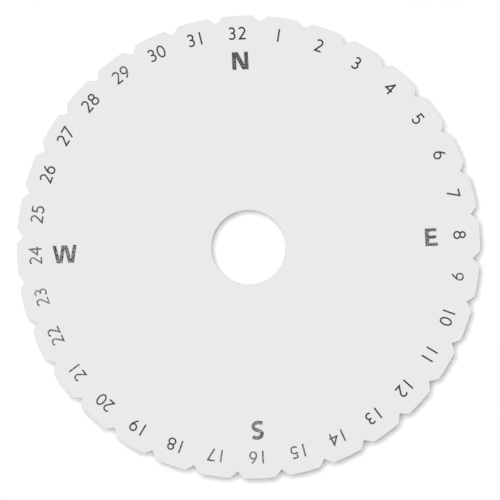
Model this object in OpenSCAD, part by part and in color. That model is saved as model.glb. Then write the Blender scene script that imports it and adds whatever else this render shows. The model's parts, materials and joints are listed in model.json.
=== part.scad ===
// Round braiding disk for cord braiding (kumihimo): one thick disk of firm
// foam with a hole in its middle, thread slots all round its rim, a printed
// number on each tab between two slots, and four direction letters.
// Millimetres. The underside lies on z = 0 with the origin at its centre.
// The numbers are on the top face and run clockwise seen from above, the
// highest one towards +Y.

/* [Disk] */
// Diameter over the tabs
disk_d = 150; // [144:1:200]
// Thickness of the foam
disk_t = 10; // [6:0.5:15]
// Diameter of the hole that the finished braid grows through
hole_d = 24; // [15:0.5:40]

/* [Thread slots] */
// Number of slots, which is also the number of tabs
slot_count = 32; // [8:4:32]
// Width of a slot's V-shaped mouth at the rim
mouth_w = 4.65; // [2:0.05:5]
// Depth of the V-shaped mouth
mouth_depth = 2.3; // [1.5:0.1:4]
// Depth of the knife cut that grips the thread, from the rim inwards
cut_depth = 12; // [6:0.5:16]
// Width of the knife cut, which the foam holds almost shut
cut_w = 0.1; // [0.05:0.05:0.5]
// Rounding of the two foam corners beside each mouth
corner_r = 0.7; // [0.2:0.1:0.8]

/* [Numbers] */
// Height of the numerals
numeral_h = 4.15; // [3:0.05:5]
// Line width of the numerals
numeral_pen = 0.52; // [0.3:0.01:0.7]
// Distance between the middles of two numerals in one number
numeral_pitch = 3.15; // [2.8:0.05:4]
// Radius of the ring on which the numbers' middles lie
number_ring_r = 68.7; // [66:0.1:69]

/* [Letters] */
// Height of the direction letters
letter_h = 5.75; // [4:0.05:7]
// Width of the letters' strokes
letter_pen = 1.3; // [0.8:0.05:1.5]
// Radius of the ring on which the letters' middles lie
letter_ring_r = 59.8; // [40:0.1:60]

/* [Printing] */
// Thickness of the ink film
ink_t = 0.08; // [0.04:0.01:0.2]
// How far the print sits off the cut outline, along X
print_x = -0.3; // [-1:0.05:1]
// How far the print sits off the cut outline, along Y
print_y = 0.6; // [-1:0.05:1]
// How far the print is turned against the cut outline, in degrees
print_turn = 0.03; // [-1:0.01:1]

/* [Hidden] */
disk_r = disk_d / 2;
tab_step = 360 / slot_count;
foam_colour = "whitesmoke";
ink_colour = [0.15, 0.15, 0.13];

// Degrees between two points of a drawn curve
curve_step = 9;
// How far a slot's cutter runs past the rim
cutter_past = 1;
// How far a corner's arc runs past the rim, so that it crosses it cleanly
corner_past = 0.02;

// Half height of a numeral's centre line: numerals are drawn with it as 1
numeral_unit = (numeral_h - numeral_pen) / 2;
// The same from the middle to a numeral's very top
cap = numeral_h / 2 / numeral_unit;

// Each letter with the side steps of its middle from the ring, in X and Y
letters = [
    ["n", [0.6, 0]],
    ["e", [-0.3, -0.3]],
    ["s", [0.3, -0.1]],
    ["w", [0.65, 0.1]]
];

function number_node(i) = str("number_", i < 10 ? "0" : "", i);
function letter_node(k) = str("letter_", letters[k][0]);

// ---------------------------------------------------------------- curves
// Every outline runs anticlockwise.

// Points along an ellipse with half axes r, from one angle to another
function arc(middle, r, from, to) =
    let (steps = ceil(abs(to - from) / curve_step))
    [for (k = [0:steps])
        let (a = from + (to - from) * k / steps)
        middle + [r.x * cos(a), r.y * sin(a)]];

// Points along a curve that leaves a towards b and reaches c from b
function bend(a, b, c) =
    let (steps = 10)
    [for (k = [0:steps])
        let (t = k / steps)
        (1 - t) * (1 - t) * a + 2 * t * (1 - t) * b + t * t * c];

function unit(v) = v / norm(v);
function left_of(v) = [-v.y, v.x];

// Where the edge of a pen line passes point k; side is 1 for left, -1 right
function edge_point(path, k, side, pen) =
    let (
        last = len(path) - 1,
        into = unit(path[max(k, 1)] - path[max(k, 1) - 1]),
        out = unit(path[min(k + 1, last)] - path[min(k + 1, last) - 1]),
        across = unit(left_of(into) + left_of(out))
    )
    path[k] + side * pen / 2 / (across * left_of(out)) * across;

// A line of one width along a path, with mitred corners and square ends
module pen_line(path, pen) {
    last = len(path) - 1;
    polygon(concat(
        [for (k = [0:last]) edge_point(path, k, -1, pen)],
        [for (k = [last:-1:0]) edge_point(path, k, 1, pen)]
    ));
}

// A closed line of one width round an ellipse
module pen_ring(middle, r, pen) {
    half = [pen, pen] / 2;
    difference() {
        polygon(arc(middle, r + half, 0, 360 - curve_step));
        polygon(arc(middle, r - half, 0, 360 - curve_step));
    }
}

// -------------------------------------------------------------- numerals

// A numeral's line and ring, in numeral units
module line(path) pen_line(numeral_unit * path, numeral_pen);
module ring(middle, r) pen_ring(numeral_unit * middle, numeral_unit * r, numeral_pen);

module six() {
    ring([0, -0.4], [0.57, 0.6]);
    line(bend([0.3, 1.02], [-0.5, 0.3], [-0.555, -0.3]));
}

module numeral(digit) {
    if (digit == 0)
        ring([0, 0], [0.6, 1]);
    if (digit == 1)
        line([[0, cap], [0, -cap]]);
    if (digit == 2)
        line(concat(arc([-0.02, 0.45], [0.54, 0.55], 150, -40), [[-0.44, -1], [0.66, -1]]));
    if (digit == 3) {
        line(arc([-0.07, 0.52], [0.48, 0.48], 148, -108));
        line(arc([-0.09, -0.47], [0.56, 0.53], 108, -142));
    }
    if (digit == 4) {
        line([[0.36, cap], [0.36, -cap]]);
        line([[0.76, -0.34], [-0.66, -0.34], [0.36, 0.97]]);
    }
    if (digit == 5) {
        line([[0.52, 1], [-0.36, 1], [-0.44, 0]]);
        line(arc([-0.06, -0.39], [0.6, 0.61], 130, -146));
    }
    if (digit == 6)
        six();
    if (digit == 7)
        line([[-0.68, 1], [0.58, 1], [-0.34, -cap]]);
    if (digit == 8) {
        ring([0, 0.52], [0.5, 0.48]);
        ring([0, -0.46], [0.59, 0.54]);
    }
    if (digit == 9)
        rotate(180) six();
}

// --------------------------------------------------------------- letters

// A stroke between the letter's top and foot, slanting from one x to another
module slant(top_x, foot_x, wide) {
    half = wide / 2;
    top = letter_h / 2;
    polygon([
        [top_x + half, top], [top_x - half, top],
        [foot_x - half, -top], [foot_x + half, -top]
    ]);
}

module letter_n() {
    stem_x = 0.455 * letter_h - letter_pen / 2;
    for (side = [-1, 1])
        slant(side * stem_x, side * stem_x, letter_pen);
    slant(-0.262 * letter_h, 0.245 * letter_h, 1.2 * letter_pen);
}

module letter_e() {
    top = letter_h / 2;
    arm_h = 0.8 * letter_pen;
    spine_x = -0.235 * letter_h;
    slant(spine_x, spine_x, letter_pen);
    // each arm's lower edge, and where it ends as a share of the height
    for (arm = [[top - arm_h, 0.31], [-arm_h / 2, 0.28], [-top, 0.36]])
        translate([spine_x, arm[0]])
            square([arm[1] * letter_h - spine_x, arm_h]);
}

module letter_s() {
    bowl = [0.275, 0.21] * letter_h;
    upper = [0.03, 0.222] * letter_h;
    lower = [-0.04, -0.222] * letter_h;
    pen_line(concat(
        [[0.29, 0.385] * letter_h],
        arc(upper, bowl, 70, 240),
        arc(lower, bowl, 60, -110),
        [[-0.31, -0.38] * letter_h]
    ), 0.93 * letter_pen);
}

module letter_w() {
    pen = 0.92 * letter_pen;
    for (side = [-1, 1]) {
        slant(side * 0.573 * letter_h, side * 0.388 * letter_h, pen);
        slant(side * 0.063 * letter_h, side * 0.265 * letter_h, pen);
    }
}

module letter(k) {
    if (letters[k][0] == "n") letter_n();
    if (letters[k][0] == "e") letter_e();
    if (letters[k][0] == "s") letter_s();
    if (letters[k][0] == "w") letter_w();
}

// ------------------------------------------------------------- sub-parts

// The V-shaped mouth of the slot at angle 0, rounded where it meets the rim
module mouth() {
    apex = disk_r - mouth_depth;
    flank = atan(mouth_w / 2 / mouth_depth);
    along = [cos(flank), sin(flank)];
    // the corner's centre lies corner_r off the flank and inside the rim
    reach = disk_r - corner_r + corner_past;
    offset = apex * cos(flank);
    rest = apex * apex + corner_r * corner_r - 2 * apex * corner_r * sin(flank) - reach * reach;
    run = sqrt(offset * offset - rest) - offset;
    centre = [apex, 0] + run * along + corner_r * left_of(along);
    corner = arc(centre, [corner_r, corner_r], flank - 90, atan(centre.y / centre.x));
    past = disk_r + cutter_past;
    polygon(concat(
        [[apex, 0]],
        [for (point = corner) [point.x, -point.y]],
        [[past, -centre.y], [past, centre.y]],
        [for (k = [len(corner) - 1:-1:0]) corner[k]]
    ));
}

module slot() {
    mouth();
    translate([disk_r - cut_depth, -cut_w / 2])
        square([cut_depth - mouth_depth / 2, cut_w]);
}

module foam_disk() color(foam_colour)
    linear_extrude(disk_t)
        difference() {
            circle(d = disk_d, $fn = 360);
            circle(d = hole_d, $fn = 120);
            for (i = [1:slot_count])
                rotate(90 - (i + 0.5) * tab_step) slot();
        }

// Ink on the top face, placed as the print is placed on the cut disk
module printed() color(ink_colour)
    translate([print_x, print_y, disk_t])
        rotate(print_turn)
            linear_extrude(ink_t)
                children();

module number(i) printed()
    rotate(-i * tab_step)
        translate([0, number_ring_r]) {
            digits = i < 10 ? [i] : [floor(i / 10), i % 10];
            for (k = [0:len(digits) - 1])
                translate([(k - (len(digits) - 1) / 2) * numeral_pitch, 0])
                    numeral(digits[k]);
        }

module direction(k) printed()
    translate(letter_ring_r * [sin(90 * k), cos(90 * k)] + letters[k][1])
        letter(k);

foam_disk();
for (i = [1:slot_count])
    number(i);
for (k = [0:len(letters) - 1])
    direction(k);
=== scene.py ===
"""Round foam braiding disk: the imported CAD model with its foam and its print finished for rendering.

Everything is in metres, in the row frame: the underside lies on z = 0, the print is on the top face, tab 32
is towards +Y and the numbers run clockwise seen from above.
"""

import json
import math

import bpy
import numpy as np
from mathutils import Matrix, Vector, noise
from mathutils.geometry import delaunay_2d_cdt


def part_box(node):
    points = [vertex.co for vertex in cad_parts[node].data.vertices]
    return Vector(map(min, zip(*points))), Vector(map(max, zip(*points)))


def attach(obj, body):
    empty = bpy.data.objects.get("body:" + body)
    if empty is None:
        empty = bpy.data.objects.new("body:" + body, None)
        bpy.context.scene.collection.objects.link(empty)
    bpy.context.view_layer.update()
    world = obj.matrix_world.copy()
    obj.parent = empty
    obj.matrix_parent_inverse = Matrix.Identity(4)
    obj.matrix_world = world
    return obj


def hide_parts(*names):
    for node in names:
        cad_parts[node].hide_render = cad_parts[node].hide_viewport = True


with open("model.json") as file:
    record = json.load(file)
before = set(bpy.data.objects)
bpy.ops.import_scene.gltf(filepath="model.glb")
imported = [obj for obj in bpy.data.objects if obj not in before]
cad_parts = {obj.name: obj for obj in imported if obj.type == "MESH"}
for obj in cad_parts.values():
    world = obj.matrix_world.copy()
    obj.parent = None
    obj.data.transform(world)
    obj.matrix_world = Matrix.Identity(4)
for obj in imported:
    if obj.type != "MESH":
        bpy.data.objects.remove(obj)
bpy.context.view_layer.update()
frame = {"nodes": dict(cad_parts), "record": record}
record = frame["record"]
mounts = {mount["name"]: mount for mount in record["mounts"]}
MM = 0.001

# ---------------------------------------------------------------- sizes from the frame
slots = [mount for name, mount in mounts.items() if name.startswith("slot_")]
DISK_R = math.hypot(slots[0]["pos_m"][0], slots[0]["pos_m"][1])
DISK_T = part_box("foam_disk")[1].z
HOLE_R = mounts["centre_hole"]["dims"]["r_mm"] * MM
SLOT_ANGLES = sorted(math.atan2(mount["axis"][1], mount["axis"][0]) for mount in slots)
TAB_STEP = 2 * math.pi / len(slots)

# ---------------------------------------------------------------- sizes of the cut edge
MOUTH_W = 4.65 * MM
MOUTH_DEPTH = 2.3 * MM
CORNER_R = 0.7 * MM
CUT_DEPTH = 12 * MM
CUT_GAP = 0.004 * MM  # the knife cut's width at the mouth; it closes towards its inner end
EDGE_R = 0.16 * MM  # rounding of the foam where its walls meet its faces
LIP_SHARE = 0.02  # how much of that rounding the lips of a knife cut have
PINCH = 0.3 * MM  # how far the cut walls draw in at half height
WALL_GRAIN = 0.045 * MM  # height of the torn cells on the cut walls
GRAIN_FADE = 1 * MM  # the grain fades out over this height below and above the faces
TORN_CELL = 0.9 * MM  # spacing of the torn cells
BLADE_STREAK = 0.7 * MM  # spacing of the streaks that the blade left
STREAK_SQUEEZE = 0.06  # how fast a streak changes up the wall, against along it

# ---------------------------------------------------------------- fineness of the disk's mesh
POINT_STEP = 0.45 * MM  # spacing of mesh points along the outline
CORNER_STEPS = 7  # steps along a mouth's rounded corner
EDGE_ROWS = 4  # rows of faces that round an edge over
WALL_ROWS = 20  # rows of faces between the two edges
FACE_STEP = 5 * MM  # spacing of the points inside a face
FACE_RINGS = 9  # rings that those points lie on
FACE_INNER_GAP = 4 * MM  # from the hole to the first ring
FACE_OUTER_GAP = 3 * MM  # from the last ring to the knife cuts
SKIN, CUT = 0, 1  # the disk's two material slots

# ---------------------------------------------------------------- picture
VIEW_WIDTH = 0.1618  # what the picture's width covers at the top face
LENS_MM = 1000
SENSOR_MM = 36
DISK_TURN = math.radians(2.83)  # the disk lies turned this far anticlockwise in the picture
AIM = (0.00042, -0.00093)  # where on the disk the camera is aimed
KEY_LEAN = math.radians(6.0)  # how far the key light leans from straight above
KEY_FROM = math.radians(129)  # the side it leans to, anticlockwise from the picture's right
KEY_SPREAD = math.radians(23)
KEY_STRENGTH = 2.97
SKY_STRENGTH = 0.11
FLOOR_GLOW = 0.024
FLOOR_SIZE = 20.0


# ================================================================ node helpers
class Shader:
    """A new material and a short way to add and wire its nodes."""

    def __init__(self, name, roughness, specular):
        self.material = bpy.data.materials.new(name)
        self.material.use_nodes = True
        self.tree = self.material.node_tree
        self.surface = self.tree.nodes["Principled BSDF"]
        self.surface.inputs["Roughness"].default_value = roughness
        self.surface.inputs["Specular IOR Level"].default_value = specular
        self.place = self.add("ShaderNodeTexCoord").outputs["Object"]

    def add(self, kind, inputs=(), **settings):
        node = self.tree.nodes.new(kind)
        for name, value in settings.items():
            setattr(node, name, value)
        for name, value in dict(inputs).items():
            if isinstance(value, bpy.types.NodeSocket):
                self.tree.links.new(value, node.inputs[name])
            else:
                node.inputs[name].default_value = value
        return node

    def link(self, output, socket):
        self.tree.links.new(output, self.surface.inputs[socket])

    def noise(self, grain, detail=2.0, rough=0.5, place=None):
        """Cloudy noise, 0 to 1, with lumps about grain metres across."""
        inputs = {"Vector": place or self.place, "Scale": 1 / grain, "Detail": detail, "Roughness": rough}
        return self.add("ShaderNodeTexNoise", inputs).outputs["Fac"]

    def cells(self, size):
        """Distance from the middle of the nearest foam cell, with cells about size metres across."""
        inputs = {"Vector": self.place, "Scale": 1 / size, "Randomness": 1.0}
        return self.add("ShaderNodeTexVoronoi", inputs, feature="SMOOTH_F1").outputs["Distance"]

    def math(self, operation, first, second):
        return self.add("ShaderNodeMath", {0: first, 1: second}, operation=operation).outputs[0]

    def fit(self, value, low, high, to_low, to_high, smooth=False):
        kind = "SMOOTHSTEP" if smooth else "LINEAR"
        inputs = {"Value": value, "From Min": low, "From Max": high, "To Min": to_low, "To Max": to_high}
        return self.add("ShaderNodeMapRange", inputs, interpolation_type=kind).outputs["Result"]

    def mix(self, share, first, second):
        node = self.add("ShaderNodeMix", data_type="RGBA")
        sockets = [s for s in node.inputs if s.type == "RGBA"]
        for socket, colour in zip(sockets, (first, second), strict=True):
            if isinstance(colour, bpy.types.NodeSocket):
                self.tree.links.new(colour, socket)
            else:
                socket.default_value = (*colour, 1)
        self.tree.links.new(share, node.inputs[0])
        return next(s for s in node.outputs if s.type == "RGBA")

    def bump(self, height, distance, strength=1.0, under=None):
        inputs = {"Height": height, "Distance": distance, "Strength": strength}
        if under is not None:
            inputs["Normal"] = under
        return self.add("ShaderNodeBump", inputs).outputs["Normal"]


# ================================================================ materials
FOAM = (0.782, 0.782, 0.782)
FOAM_SHADE = (0.757, 0.757, 0.755)
INK = (0.014, 0.0145, 0.011)


def skin_relief(shader):
    """The foam's face: fine closed cells pressed flat, under a very faint unevenness."""
    cells = shader.bump(shader.cells(0.22 * MM), 0.012 * MM)
    return shader.bump(shader.noise(1.6 * MM, 3), 0.03 * MM, under=cells)


def skin_material():
    shader = Shader("foam_skin", roughness=0.78, specular=0.3)
    tone = shader.fit(shader.noise(7 * MM, 4, 0.6), 0.35, 0.7, 0, 0.25)
    shader.link(shader.mix(tone, FOAM, FOAM_SHADE), "Base Color")
    shader.link(skin_relief(shader), "Normal")
    return shader.material


def cut_material():
    """The die-cut wall: opened cells, with faint streaks where the blade dragged down."""
    shader = Shader("foam_cut", roughness=0.9, specular=0.2)
    pores = shader.cells(0.34 * MM)
    stretch = shader.add("ShaderNodeMapping", {"Vector": shader.place, "Scale": (1, 1, 0.08)})
    streaks = shader.noise(0.5 * MM, 3, place=stretch.outputs["Vector"])
    relief = shader.bump(pores, 0.06 * MM)
    relief = shader.bump(streaks, 0.08 * MM, under=relief)
    depth = shader.fit(pores, 0.15, 0.75, 0, 0.7)
    shader.link(shader.mix(depth, FOAM, FOAM_SHADE), "Base Color")
    shader.link(relief, "Normal")
    return shader.material


NUMBERS_BARE = 0.05  # share of the foam that the numbers' ink leaves bare
# The same for each letter, whose print is even all over
LETTERS_BARE = {"letter_n": 0.12, "letter_e": 0.19, "letter_s": 0.25, "letter_w": 0.21}
# Patches of thin or full print in the numbers: tab at the middle, reach and change in that share
PRINT_PATCHES = (
    (0, 30 * MM, -0.04),
    (3, 40 * MM, -0.05),
    (9, 9 * MM, 0.12),
    (12, 30 * MM, -0.05),
    (16, 40 * MM, 0.17),
    (23, 48 * MM, 0.19),
    (29, 9 * MM, 0.1),
)
PORE = 0.28 * MM  # spacing of the pores that the ink misses


def patchy_share(shader):
    """The share that the numbers' ink leaves bare, from place to place round their ring."""
    ring_r = sum(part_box("number_08")[k].x for k in (0, 1)) / 2
    share = NUMBERS_BARE
    for tab, reach, change in PRINT_PATCHES:
        turn = math.pi / 2 - tab * TAB_STEP
        middle = (ring_r * math.cos(turn), ring_r * math.sin(turn), DISK_T)
        away = shader.add("ShaderNodeVectorMath", {0: shader.place, 1: middle}, operation="DISTANCE")
        added = shader.fit(away.outputs["Value"], 0, reach, change, 0, smooth=True)
        share = shader.math("ADD", share, added)
    return share


def ink_material(name, bare_share):
    """Thin dark ink that misses the foam's pores, so that pale specks show through it."""
    shader = Shader(name, roughness=0.8, specular=0.15)
    share = patchy_share(shader) if bare_share is None else bare_share
    clouds = shader.fit(shader.noise(0.9 * MM, 2), 0.3, 0.7, 0.3, 1.7)
    share = shader.math("MAXIMUM", shader.math("MULTIPLY", share, clouds), 0.005)
    inputs = {"Vector": shader.place, "Scale": 1 / PORE, "Randomness": 1.0}
    pores = shader.add("ShaderNodeTexVoronoi", inputs, voronoi_dimensions="2D", feature="F1")
    # a pore of radius r in a cell of size 1 bares a share of pi r^2
    radius = shader.math("SQRT", shader.math("DIVIDE", share, math.pi), 0)
    past_edge = shader.math("SUBTRACT", pores.outputs["Distance"], radius)
    bare = shader.fit(past_edge, -0.06, 0.06, 1, 0, smooth=True)
    tone = shader.mix(shader.noise(0.5 * MM), INK, tuple(2 * c for c in INK))
    shader.link(shader.mix(bare, tone, FOAM), "Base Color")
    shader.link(skin_relief(shader), "Normal")
    return shader.material


def floor_material():
    shader = Shader("floor_white", roughness=0.6, specular=0.1)
    shader.surface.inputs["Base Color"].default_value = (0.93, 0.93, 0.93, 1)
    shader.surface.inputs["Emission Color"].default_value = (1, 1, 1, 1)
    shader.surface.inputs["Emission Strength"].default_value = FLOOR_GLOW
    return shader.material


def add_object(name, data):
    made = bpy.data.objects.new(name, data)
    bpy.context.scene.collection.objects.link(made)
    return made


# ================================================================ the foam disk
def spaced(start, end, step):
    """Points from start up to but not including end, about step apart."""
    count = max(1, round(math.dist(start, end) / step))
    return [tuple(a + (b - a) * k / count for a, b in zip(start, end, strict=True)) for k in range(count)]


def slot_side():
    """The anticlockwise side of a slot at angle 0, from the knife cut's inner end out to the rim.

    Each point is (x outwards, y anticlockwise, share of edge rounding, share of wall pinch).
    """
    inner, apex = DISK_R - CUT_DEPTH, DISK_R - MOUTH_DEPTH
    flank = math.atan2(MOUTH_W / 2, MOUTH_DEPTH)
    along, off = (math.cos(flank), math.sin(flank)), (-math.sin(flank), math.cos(flank))
    # the rounded corner touches both the flank and the rim
    lean = apex * along[0]
    rest = apex**2 + CORNER_R**2 + 2 * apex * CORNER_R * off[0] - (DISK_R - CORNER_R) ** 2
    run = math.sqrt(lean**2 - rest) - lean
    corner = (apex + run * along[0] + CORNER_R * off[0], run * along[1] + CORNER_R * off[1])
    turn_from, turn_to = flank - math.pi / 2, math.atan2(corner[1], corner[0])

    side = []
    for x, y in spaced((inner, 0), (apex, CUT_GAP / 2), POINT_STEP):
        side.append((x, y, LIP_SHARE, 0))
    flank_end = (apex + run * along[0], CUT_GAP / 2 + run * along[1])
    for x, y in spaced((apex, CUT_GAP / 2), flank_end, POINT_STEP):
        share = (x - apex) / (flank_end[0] - apex)
        side.append((x, y, LIP_SHARE + (1 - LIP_SHARE) * share, share))
    for k in range(CORNER_STEPS + 1):
        a = turn_from + (turn_to - turn_from) * k / CORNER_STEPS
        side.append((corner[0] + CORNER_R * math.cos(a), corner[1] + CORNER_R * math.sin(a), 1, 1))
    return side


def rim_outline():
    """The disk's outline, anticlockwise, as rows of (x, y, rounding, pinch)."""
    side = slot_side()
    past_corner = math.atan2(side[-1][1], side[-1][0])
    slot = [(x, -y, r, p) for x, y, r, p in reversed(side)] + side[1:]
    rim_points = round(DISK_R * (TAB_STEP - 2 * past_corner) / POINT_STEP)
    rows = []
    for turn in SLOT_ANGLES:
        c, s = math.cos(turn), math.sin(turn)
        rows += [(c * x - s * y, s * x + c * y, r, p) for x, y, r, p in slot]
        for k in range(1, rim_points):
            a = turn + past_corner + (TAB_STEP - 2 * past_corner) * k / rim_points
            rows.append((DISK_R * math.cos(a), DISK_R * math.sin(a), 1, 1))
    return np.array(rows)


def hole_outline():
    """The centre hole's edge, clockwise, so that the foam is on its left as it is on the rim's."""
    count = round(2 * math.pi * HOLE_R / POINT_STEP)
    turns = -np.arange(count) * 2 * math.pi / count
    whole = np.ones(count)
    return np.column_stack([HOLE_R * np.cos(turns), HOLE_R * np.sin(turns), whole, whole])


def wall_rows():
    """Heights of the wall's rows of points with their inward steps: (z, by edge rounding, by pinch)."""
    turns = [math.radians(90 * k / EDGE_ROWS) for k in range(EDGE_ROWS + 1)]
    edge = [(EDGE_R * (1 - math.cos(a)), EDGE_R * (1 - math.sin(a))) for a in turns]
    wall = [(EDGE_R + (DISK_T - 2 * EDGE_R) * k / WALL_ROWS, 0) for k in range(1, WALL_ROWS)]
    rows = edge + wall + [(DISK_T - z, step) for z, step in reversed(edge)]
    middle = DISK_T / 2
    return [(z, step, PINCH * (1 - ((z - middle) / middle) ** 2)) for z, step in rows]


def torn_cells(point, height):
    """How far torn cells and blade streaks move a cut wall at a point, which is nothing at the edges."""
    fade = min(1.0, height / GRAIN_FADE, (DISK_T - height) / GRAIN_FADE)
    x, y = point
    cells = noise.noise(Vector((x, y, height)) / TORN_CELL)
    streaks = noise.noise(Vector((x, y, height * STREAK_SQUEEZE)) / BLADE_STREAK)
    return WALL_GRAIN * fade * (0.6 * cells + 0.6 * streaks)


def wall_points(outline):
    """One ring of points for each row of the wall along an outline that has the foam on its left."""
    place = outline[:, :2]
    along = np.roll(place, -1, 0) - np.roll(place, 1, 0)
    along /= np.linalg.norm(along, axis=1)[:, None]
    inward = np.column_stack([-along[:, 1], along[:, 0]])
    rings = []
    for z, edge, pinch in wall_rows():
        step = edge * outline[:, 2] + pinch * outline[:, 3]
        grain = [torn_cells(p, z) * share for p, share in zip(place, outline[:, 3], strict=True)]
        moved = place + inward * (step + np.abs(grain))[:, None]
        rings.append(np.column_stack([moved, np.full(len(moved), z)]))
    return rings


def face_triangles(loops):
    """Triangles that fill the flat face between the rim's loop and the hole's, and its spare points."""
    flat = [loop[:, :2] / MM for loop in loops]
    edges, start = [], 0
    for loop in flat:
        count = len(loop)
        edges += [(start + k, start + (k + 1) % count) for k in range(count)]
        start += count
    spare = []
    for radius in np.linspace(HOLE_R + FACE_INNER_GAP, DISK_R - CUT_DEPTH - FACE_OUTER_GAP, FACE_RINGS):
        count = round(2 * math.pi * radius / FACE_STEP)
        turns = np.arange(count) * 2 * math.pi / count
        spare.append(np.column_stack([radius * np.cos(turns), radius * np.sin(turns)]) / MM)
    points = np.vstack(flat + spare)
    made = delaunay_2d_cdt([Vector(p) for p in points], edges, [], 1, 1e-6)
    assert len(made[0]) == len(points), "the face's outline crosses itself"
    first_of = [origin[0] for origin in made[3]]
    rim, both = len(flat[0]), start
    triangles = []
    for triangle in made[2]:
        corners = [first_of[k] for k in triangle]
        if not all(rim <= k < both for k in corners):
            triangles.append(corners)
    return points[both:] * MM, triangles


def wall_faces(starts, count):
    """The faces between a wall's rows, given each row's first point, with each face's material slot."""
    faces, finish = [], []
    for row in range(len(starts) - 1):
        low, high = starts[row], starts[row + 1]
        is_cut = EDGE_ROWS <= row < len(starts) - 1 - EDGE_ROWS
        for k in range(count):
            n = (k + 1) % count
            faces.append((low + k, low + n, high + n, high + k))
            finish.append(CUT if is_cut else SKIN)
    return faces, finish


def build_disk():
    """The whole disk as one closed mesh: the rim's wall, the hole's wall and the two faces."""
    walls = [wall_points(rim_outline()), wall_points(hole_outline())]
    last_row = len(walls[0]) - 1
    points, faces, finish, row_starts = [], [], [], []
    for rings in walls:
        count = len(rings[0])
        starts = [len(points) + row * count for row in range(last_row + 1)]
        row_starts.append(starts)
        points += np.vstack(rings).tolist()
        made, made_finish = wall_faces(starts, count)
        faces += made
        finish += made_finish
    wall_count = len(faces)
    for row, z in ((0, 0.0), (last_row, DISK_T)):
        spare, triangles = face_triangles([rings[row] for rings in walls])
        # where the points that face_triangles numbers, rim, hole and spare ones, stand in the mesh
        place = []
        for rings, starts in zip(walls, row_starts, strict=True):
            place += range(starts[row], starts[row] + len(rings[row]))
        place += range(len(points), len(points) + len(spare))
        points += [(x, y, z) for x, y in spare.tolist()]
        for triangle in triangles:
            corners = [place[k] for k in triangle]
            faces.append(corners if row else corners[::-1])
            finish.append(SKIN)
    mesh = bpy.data.meshes.new("foam")
    mesh.from_pydata(points, [], faces)
    mesh.polygons.foreach_set("use_smooth", [k < wall_count for k in range(len(faces))])
    mesh.polygons.foreach_set("material_index", finish)
    mesh.materials.append(skin_material())
    mesh.materials.append(cut_material())
    mesh.validate()
    return add_object("foam", mesh)


# ================================================================ the print
def finish_print():
    """The CAD's numbers and letters stay as they are and take their inks."""
    numbers_ink = ink_material("ink_numbers", None)
    for name, node in frame["nodes"].items():
        if name == "foam_disk":
            continue
        node.data.materials.clear()
        bare_share = LETTERS_BARE.get(name)
        node.data.materials.append(ink_material(f"ink_{name}", bare_share) if bare_share else numbers_ink)


# ================================================================ studio
def build_camera():
    camera = add_object("camera", bpy.data.cameras.new("camera"))
    camera.data.sensor_width = SENSOR_MM
    camera.data.lens = LENS_MM
    height = VIEW_WIDTH * LENS_MM / SENSOR_MM
    camera.location = (*AIM, DISK_T + height)
    camera.rotation_euler = (0, 0, -DISK_TURN)
    bpy.context.scene.camera = camera


def build_lights():
    key = add_object("key", bpy.data.lights.new("key", "SUN"))
    key.data.energy = KEY_STRENGTH
    key.data.angle = KEY_SPREAD
    side = KEY_FROM - DISK_TURN
    reach = math.tan(KEY_LEAN)
    towards = Vector((reach * math.cos(side), reach * math.sin(side), 1))
    key.rotation_euler = towards.to_track_quat("Z", "Y").to_euler()
    world = bpy.data.worlds.new("studio")
    world.use_nodes = True
    sky = world.node_tree.nodes["Background"]
    sky.inputs["Color"].default_value = (1, 1, 1, 1)
    sky.inputs["Strength"].default_value = SKY_STRENGTH
    bpy.context.scene.world = world


def build_floor():
    half = FLOOR_SIZE / 2
    mesh = bpy.data.meshes.new("floor")
    corners = [(-half, -half, 0), (half, -half, 0), (half, half, 0), (-half, half, 0)]
    mesh.from_pydata(corners, [], [(0, 1, 2, 3)])
    mesh.materials.append(floor_material())
    add_object("floor", mesh)


build_camera()
build_lights()
build_floor()
bpy.context.scene.view_settings.view_transform = "Standard"

foam = build_disk()
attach(foam, "root")
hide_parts("foam_disk")
finish_print()
